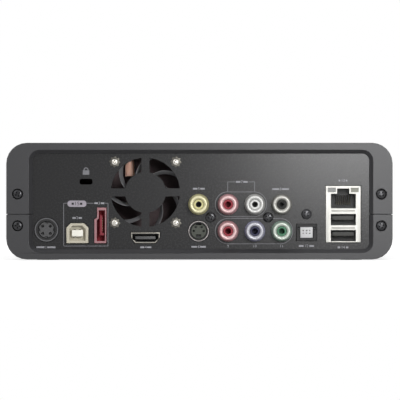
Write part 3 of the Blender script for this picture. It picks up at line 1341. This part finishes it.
def make_drive_cage():
    """A folded sheet-steel cage with two runners, standing on the main board."""
    outer, inner = CAGE_OUTER / 2, CAGE_INNER / 2
    right = [
        (outer, SEAT), (outer, CAGE_TOP), (-outer, CAGE_TOP), (-outer, SEAT), (-inner, SEAT),
        (-inner, RUNNER_UNDERSIDE), (-inner + RUNNER_WIDTH, RUNNER_UNDERSIDE),
        (-inner + RUNNER_WIDTH, RUNNER_TOP), (-inner, RUNNER_TOP),
        (-inner, CAGE_TOP - CAGE_SHEET), (inner, CAGE_TOP - CAGE_SHEET), (inner, RUNNER_TOP),
        (inner - RUNNER_WIDTH, RUNNER_TOP), (inner - RUNNER_WIDTH, RUNNER_UNDERSIDE),
        (inner, RUNNER_UNDERSIDE), (inner, SEAT),
    ]
    cage = outline_solid("drive_cage", [right], CAGE_FRONT, BACKPLANE_FRONT - FIT, (BAY_X, 0.0))
    finish_with(cage, STEEL)


def make_backplane():
    """An upright board behind the bay, with the socket that the drive meets and a small choke."""
    half = CAGE_OUTER / 2 - BACKPLANE_SIDE_GAP
    board = block("backplane_board", (BAY_X - half, BACKPLANE_FRONT, SEAT),
                  (BAY_X + half, BACKPLANE_REAR, BACKPLANE_TOP))
    finish_with(board, BOARD_GREEN)

    wide, tall = PLUG_WIDTH / 2, PLUG_HEIGHT / 2
    face = BACKPLANE_FRONT - FIT
    margin = SHROUD_MARGIN
    socket = block("backplane_socket",
                   (PLUG_X - wide - margin, DRIVE_REAR + FIT, PLUG_Z - tall - margin),
                   (PLUG_X + wide + margin, face, PLUG_Z + tall + margin))
    thin, short = PLUG_CLEARANCE, FIT
    tongue = block("socket_tongue",
                   (PLUG_X - wide + thin, DRIVE_REAR - PLUG_DEPTH + thin, PLUG_Z - tall + thin),
                   (PLUG_X + wide - thin, face - short, PLUG_Z + tall - thin))
    fuse(socket, tongue)
    finish_with(socket, SOCKET_BLACK)

    radius, half_height = CHOKE_DIAMETER / 2, CHOKE_HEIGHT / 2
    waist, lip = radius - CHOKE_WAIST, half_height - CHOKE_FLANGE
    place = (FAN_X + CHOKE_SHIFT, BACKPLANE_REAR + FIT + radius)
    choke = turned("choke_coil", [
        (0.0, half_height), (radius, half_height), (radius, lip), (waist, lip), (waist, -lip),
        (radius, -lip), (radius, -half_height), (0.0, -half_height),
    ], BACKPLANE_TOP - CHOKE_TOP_GAP - half_height, place, "up")
    finish_with(choke, COPPER)


def make_hard_drive():
    """A cast drive with its circuit board in a pocket underneath and its plug at the rear."""
    body = outline_solid(
        "hard_drive", [rounded_rectangle(DRIVE_WIDTH, DRIVE_LENGTH, DRIVE_CORNER, steps=2)],
        DRIVE_UNDERSIDE, DRIVE_TOP, (BAY_X, (DRIVE_FRONT + DRIVE_REAR) / 2), "up",
    )
    wide, rear = DRIVE_WIDTH / 2 - DRIVE_BOARD_SIDE_GAP, DRIVE_REAR - DRIVE_BOARD_MARGIN
    front = rear - DRIVE_BOARD_LENGTH
    ceiling = DRIVE_UNDERSIDE + DRIVE_POCKET
    margin = DRIVE_BOARD_MARGIN
    pocket = block("drive_pocket",
                   (BAY_X - wide - margin, front - margin, DRIVE_UNDERSIDE - OVERRUN),
                   (BAY_X + wide + margin, DRIVE_REAR + OVERRUN, ceiling))
    plug = block("drive_plug",
                 (PLUG_X - PLUG_WIDTH / 2, DRIVE_REAR - PLUG_DEPTH, PLUG_Z - PLUG_HEIGHT / 2),
                 (PLUG_X + PLUG_WIDTH / 2, DRIVE_REAR + OVERRUN, PLUG_Z + PLUG_HEIGHT / 2))
    cut(body, pocket, plug)
    finish_with(body, ALUMINIUM)

    board = block("drive_circuit_board",
                  (BAY_X - wide, front, ceiling - FIT - DRIVE_BOARD_SHEET),
                  (BAY_X + wide, rear, ceiling - FIT))
    finish_with(board, BOARD_GREEN)


def make_tray():
    """The tray frame that slides on the runners, and the front plate that it is fixed to."""
    half = TRAY_WIDTH / 2
    top = TRAY_UNDERSIDE + TRAY_FLOOR + TRAY_WALL_HEIGHT
    inner, floor = half - TRAY_WALL, TRAY_UNDERSIDE + TRAY_FLOOR
    channel = [
        (half, TRAY_UNDERSIDE), (half, top), (inner, top), (inner, floor),
        (-inner, floor), (-inner, top), (-half, top), (-half, TRAY_UNDERSIDE),
    ]
    frame = outline_solid("tray_frame", [channel], DRIVE_FRONT, DRIVE_REAR - FIT, (BAY_X, 0.0))
    finish_with(frame, TRAY_BLACK)

    plate = outline_solid("tray_front", [rounded_rectangle(
        TRAY_FRONT_WIDTH, TRAY_FRONT_HEIGHT, TRAY_FRONT_CORNER, (BAY_X, TRAY_FRONT_Z), steps=3
    )], BEZEL_FRONT, TRAY_FRONT_BACK)
    wide = HANDLE_WIDTH / 2 + HANDLE_GAP
    low = HANDLE_Z - HANDLE_KNUCKLE / 2 - HANDLE_GAP
    high = HANDLE_Z + HANDLE_HEIGHT + HANDLE_GAP
    well = block("handle_well", (HANDLE_X - wide, BEZEL_FRONT - OVERRUN, low),
                 (HANDLE_X + wide, BEZEL_FRONT + HANDLE_KNUCKLE + HANDLE_GAP, high))
    finger = block(
        "finger_well",
        (HANDLE_X - FINGER_WIDTH / 2, BEZEL_FRONT - OVERRUN, high - FINGER_BEHIND),
        (HANDLE_X + FINGER_WIDTH / 2, BEZEL_FRONT + FINGER_DEPTH, high + FINGER_HEIGHT),
    )
    reach = HANDLE_WIDTH / 2 + HANDLE_PIN_REACH + FIT
    pin_hole = rod("pin_hole", HANDLE_PIN / 2 + FIT, HANDLE_X - reach,
                   BAY_X + TRAY_FRONT_WIDTH / 2 + OVERRUN, (HANDLE_Y, HANDLE_Z), "right",
                   SMALL_SIDES)
    release = outline_solid("release_well", [rounded_rectangle(
        RELEASE_WIDTH + 2 * FIT, RELEASE_HEIGHT + 2 * FIT, RELEASE_CORNER,
        (RELEASE_X, TRAY_FRONT_Z), steps=2
    )], BEZEL_FRONT - OVERRUN, BEZEL_FRONT + RELEASE_DEPTH + RELEASE_TRAVEL + FIT)
    guide = rod("release_guide_hole", RELEASE_GUIDE / 2 + FIT, BEZEL_FRONT,
                TRAY_FRONT_BACK + OVERRUN, (RELEASE_X, TRAY_FRONT_Z), sides=SMALL_SIDES)
    cut(plate, well, finger, pin_hole, release, guide)
    finish_with(plate, TRAY_BLACK)


def make_tray_handle():
    """A flat handle that folds down about the pin along its lower edge."""
    half = HANDLE_WIDTH / 2
    knuckle = HANDLE_KNUCKLE / 2
    handle = rod("tray_handle", knuckle, HANDLE_X - half, HANDLE_X + half, (HANDLE_Y, HANDLE_Z),
                 "right")
    face = HANDLE_Y - knuckle
    plate = block("handle_plate", (HANDLE_X - half + FIT / 2, face, HANDLE_Z),
                  (HANDLE_X + half - FIT / 2, face + HANDLE_SHEET, HANDLE_Z + HANDLE_HEIGHT))
    hole = rod("handle_pin_hole", HANDLE_PIN / 2 + FIT, HANDLE_X - half - OVERRUN,
               HANDLE_X + half + OVERRUN, (HANDLE_Y, HANDLE_Z), "right", SMALL_SIDES)
    fuse(handle, plate)
    cut(handle, hole)
    finish_with(handle, TRAY_BLACK)

    reach = half + HANDLE_PIN_REACH
    pin = rod("handle_pin", HANDLE_PIN / 2, HANDLE_X - reach, HANDLE_X + reach,
              (HANDLE_Y, HANDLE_Z), "right", SMALL_SIDES)
    finish_with(pin, STEEL)


def make_tray_release():
    """The button that frees the tray, on a guide that runs through the tray's front."""
    button = outline_solid("tray_release", [rounded_rectangle(
        RELEASE_WIDTH, RELEASE_HEIGHT, RELEASE_CORNER, (RELEASE_X, TRAY_FRONT_Z), steps=2
    )], BEZEL_FRONT, BEZEL_FRONT + RELEASE_DEPTH)
    guide = rod("release_guide", RELEASE_GUIDE / 2, BEZEL_FRONT + RELEASE_DEPTH / 2,
                BEZEL_FRONT + RELEASE_DEPTH + RELEASE_GUIDE_LENGTH, (RELEASE_X, TRAY_FRONT_Z),
                sides=SMALL_SIDES)
    fuse(button, guide)
    finish_with(button, BEZEL_BLACK)


def button_places():
    """Name, diameter and middle of each front button."""
    places = [("power_button", POWER_BUTTON, (POWER_BUTTON_X, BUTTON_ROW))]
    last = ZONE_RIGHT - MENU_BUTTON_INSET - MENU_BUTTON / 2
    for number in range(MENU_BUTTON_COUNT):
        x = last - (MENU_BUTTON_COUNT - 1 - number) * MENU_BUTTON_PITCH
        places.append((f"menu_button_{number + 1}", MENU_BUTTON, (x, BUTTON_ROW)))
    return places


def post_places():
    """Four posts inside the bezel that carry the front board, clear of window and buttons."""
    low = BUTTON_ROW - FRONT_POST
    high = WINDOW_Z + WINDOW_HEIGHT / 2 + FRONT_POST
    power, menu = button_places()[:2]
    left = (power[2][0] + power[1] / 2 + menu[2][0] - menu[1] / 2) / 2
    return [(left, low), (ZONE_RIGHT, high), (left, high), (ZONE_RIGHT + FRONT_POST, low)]


def make_front_bezel():
    """A shallow moulding with the tray's opening, the window's rebate and the button holes."""
    bezel = outline_solid("front_bezel", [case_outline()], BEZEL_FRONT, BEZEL_BACK)
    hollow = outline_solid("bezel_hollow", [case_outline(WALL)], BEZEL_PLATE_BACK,
                           BEZEL_BACK + OVERRUN)
    opening = outline_solid("tray_opening", [rounded_rectangle(
        TRAY_FRONT_WIDTH + 2 * TRAY_FRONT_GAP, TRAY_FRONT_HEIGHT + 2 * TRAY_FRONT_GAP,
        TRAY_FRONT_CORNER, (BAY_X, TRAY_FRONT_Z), steps=3
    )], BEZEL_FRONT - OVERRUN, BEZEL_PLATE_BACK + OVERRUN)
    window = (WINDOW_X, WINDOW_Z)
    rebate = outline_solid("window_rebate", [rounded_rectangle(
        WINDOW_WIDTH + 2 * FIT, WINDOW_HEIGHT + 2 * FIT, WINDOW_CORNER, window, steps=3
    )], BEZEL_FRONT - OVERRUN, BEZEL_FRONT + WINDOW_REBATE)
    pane = outline_solid("window_hole", [rounded_rectangle(
        WINDOW_WIDTH - 2 * WINDOW_LEDGE, WINDOW_HEIGHT - 2 * WINDOW_LEDGE, WINDOW_CORNER / 2,
        window, steps=3
    )], BEZEL_FRONT, BEZEL_PLATE_BACK + OVERRUN)
    holes = together("button_holes", [
        rod(f"hole_{name}", size / 2 + FIT, BEZEL_FRONT - OVERRUN, BEZEL_PLATE_BACK + OVERRUN,
            place)
        for name, size, place in button_places()
    ])
    posts = together("board_posts", [
        rod(f"board_post_{n}", FRONT_POST / 2, BEZEL_PLATE_BACK - BEZEL_PLATE / 2,
            FRONT_BOARD_FACE - FIT, place, sides=SMALL_SIDES)
        for n, place in enumerate(post_places())
    ])
    cut(bezel, hollow, opening, rebate, pane, holes)
    fuse(bezel, posts)
    finish_with(bezel, BEZEL_BLACK)


def make_display():
    """The smoked window, the display behind it and the upright board that carries both."""
    pane = outline_solid("display_window", [rounded_rectangle(
        WINDOW_WIDTH, WINDOW_HEIGHT, WINDOW_CORNER, (WINDOW_X, WINDOW_Z), steps=3
    )], BEZEL_FRONT, BEZEL_FRONT + WINDOW_SHEET)
    finish_with(pane, SMOKED)

    width, height = WINDOW_WIDTH - 2 * WINDOW_LEDGE, WINDOW_HEIGHT - 2 * WINDOW_LEDGE
    back = FRONT_BOARD_FACE - FIT
    module = outline_solid("display_module", [rectangle(width, height, (WINDOW_X, WINDOW_Z))],
                           back - DISPLAY_DEPTH, back)
    finish_with(module, material("display_glass", (0.02, 0.05, 0.06), 0.1))

    left, right = ZONE_LEFT - FRONT_BOARD_MARGIN, ZONE_RIGHT + 2 * FRONT_BOARD_MARGIN
    low = BUTTON_ROW - FRONT_BOARD_CORNER - FRONT_BOARD_MARGIN / 2
    high = WINDOW_Z + WINDOW_HEIGHT / 2 + FRONT_BOARD_CORNER
    board = outline_solid("front_board", [rounded_rectangle(
        right - left, high - low, FRONT_BOARD_CORNER, ((left + right) / 2, (low + high) / 2),
        steps=3
    )], FRONT_BOARD_FACE, FRONT_BOARD_FACE + BOARD_SHEET)
    finish_with(board, BOARD_GREEN)


def make_front_buttons():
    """Round buttons held by a flange behind the bezel, each with a stem for its switch."""
    for name, size, place in button_places():
        radius = size / 2
        flange = radius + BUTTON_FLANGE
        top = BUTTON_PROUD + BEZEL_PLATE + FIT
        button = turned(name, [
            (0.0, 0.0), (radius - BUTTON_ROUND, 0.0), (radius, -BUTTON_ROUND), (radius, -top),
            (flange, -top), (flange, -top - BUTTON_FLANGE_SHEET),
            (BUTTON_STEM / 2, -top - BUTTON_FLANGE_SHEET), (BUTTON_STEM / 2, -BUTTON_AXIS_LENGTH),
            (0.0, -BUTTON_AXIS_LENGTH),
        ], FRONT, place, "front", BUTTON_SIDES)
        finish_with(button, BEZEL_BLACK)


def settle_pieces():
    """Makes every cut and join final, so that the edges between flats can be marked sharp."""
    bpy.context.view_layer.update()
    graph = bpy.context.evaluated_depsgraph_get()
    for piece in PARTS.objects:
        mesh = bpy.data.meshes.new_from_object(piece.evaluated_get(graph))
        piece.modifiers.clear()
        piece.data = mesh
        mesh.name = piece.name
        mesh.shade_smooth()
        mesh.set_sharp_from_angle(angle=SHARP_ANGLE)


make_covers()
make_feet()
make_rear_panel()
make_screws()
make_fan_frame()
make_fan_rotor()
make_power_socket()
make_device_port()
make_drive_port()
make_av_port()
make_round_video_socket()
make_jacks()
make_optical_port()
make_network_stack()
make_main_board()
make_drive_cage()
make_backplane()
make_hard_drive()
make_tray()
make_tray_handle()
make_tray_release()
make_front_bezel()
make_display()
make_front_buttons()
settle_pieces()
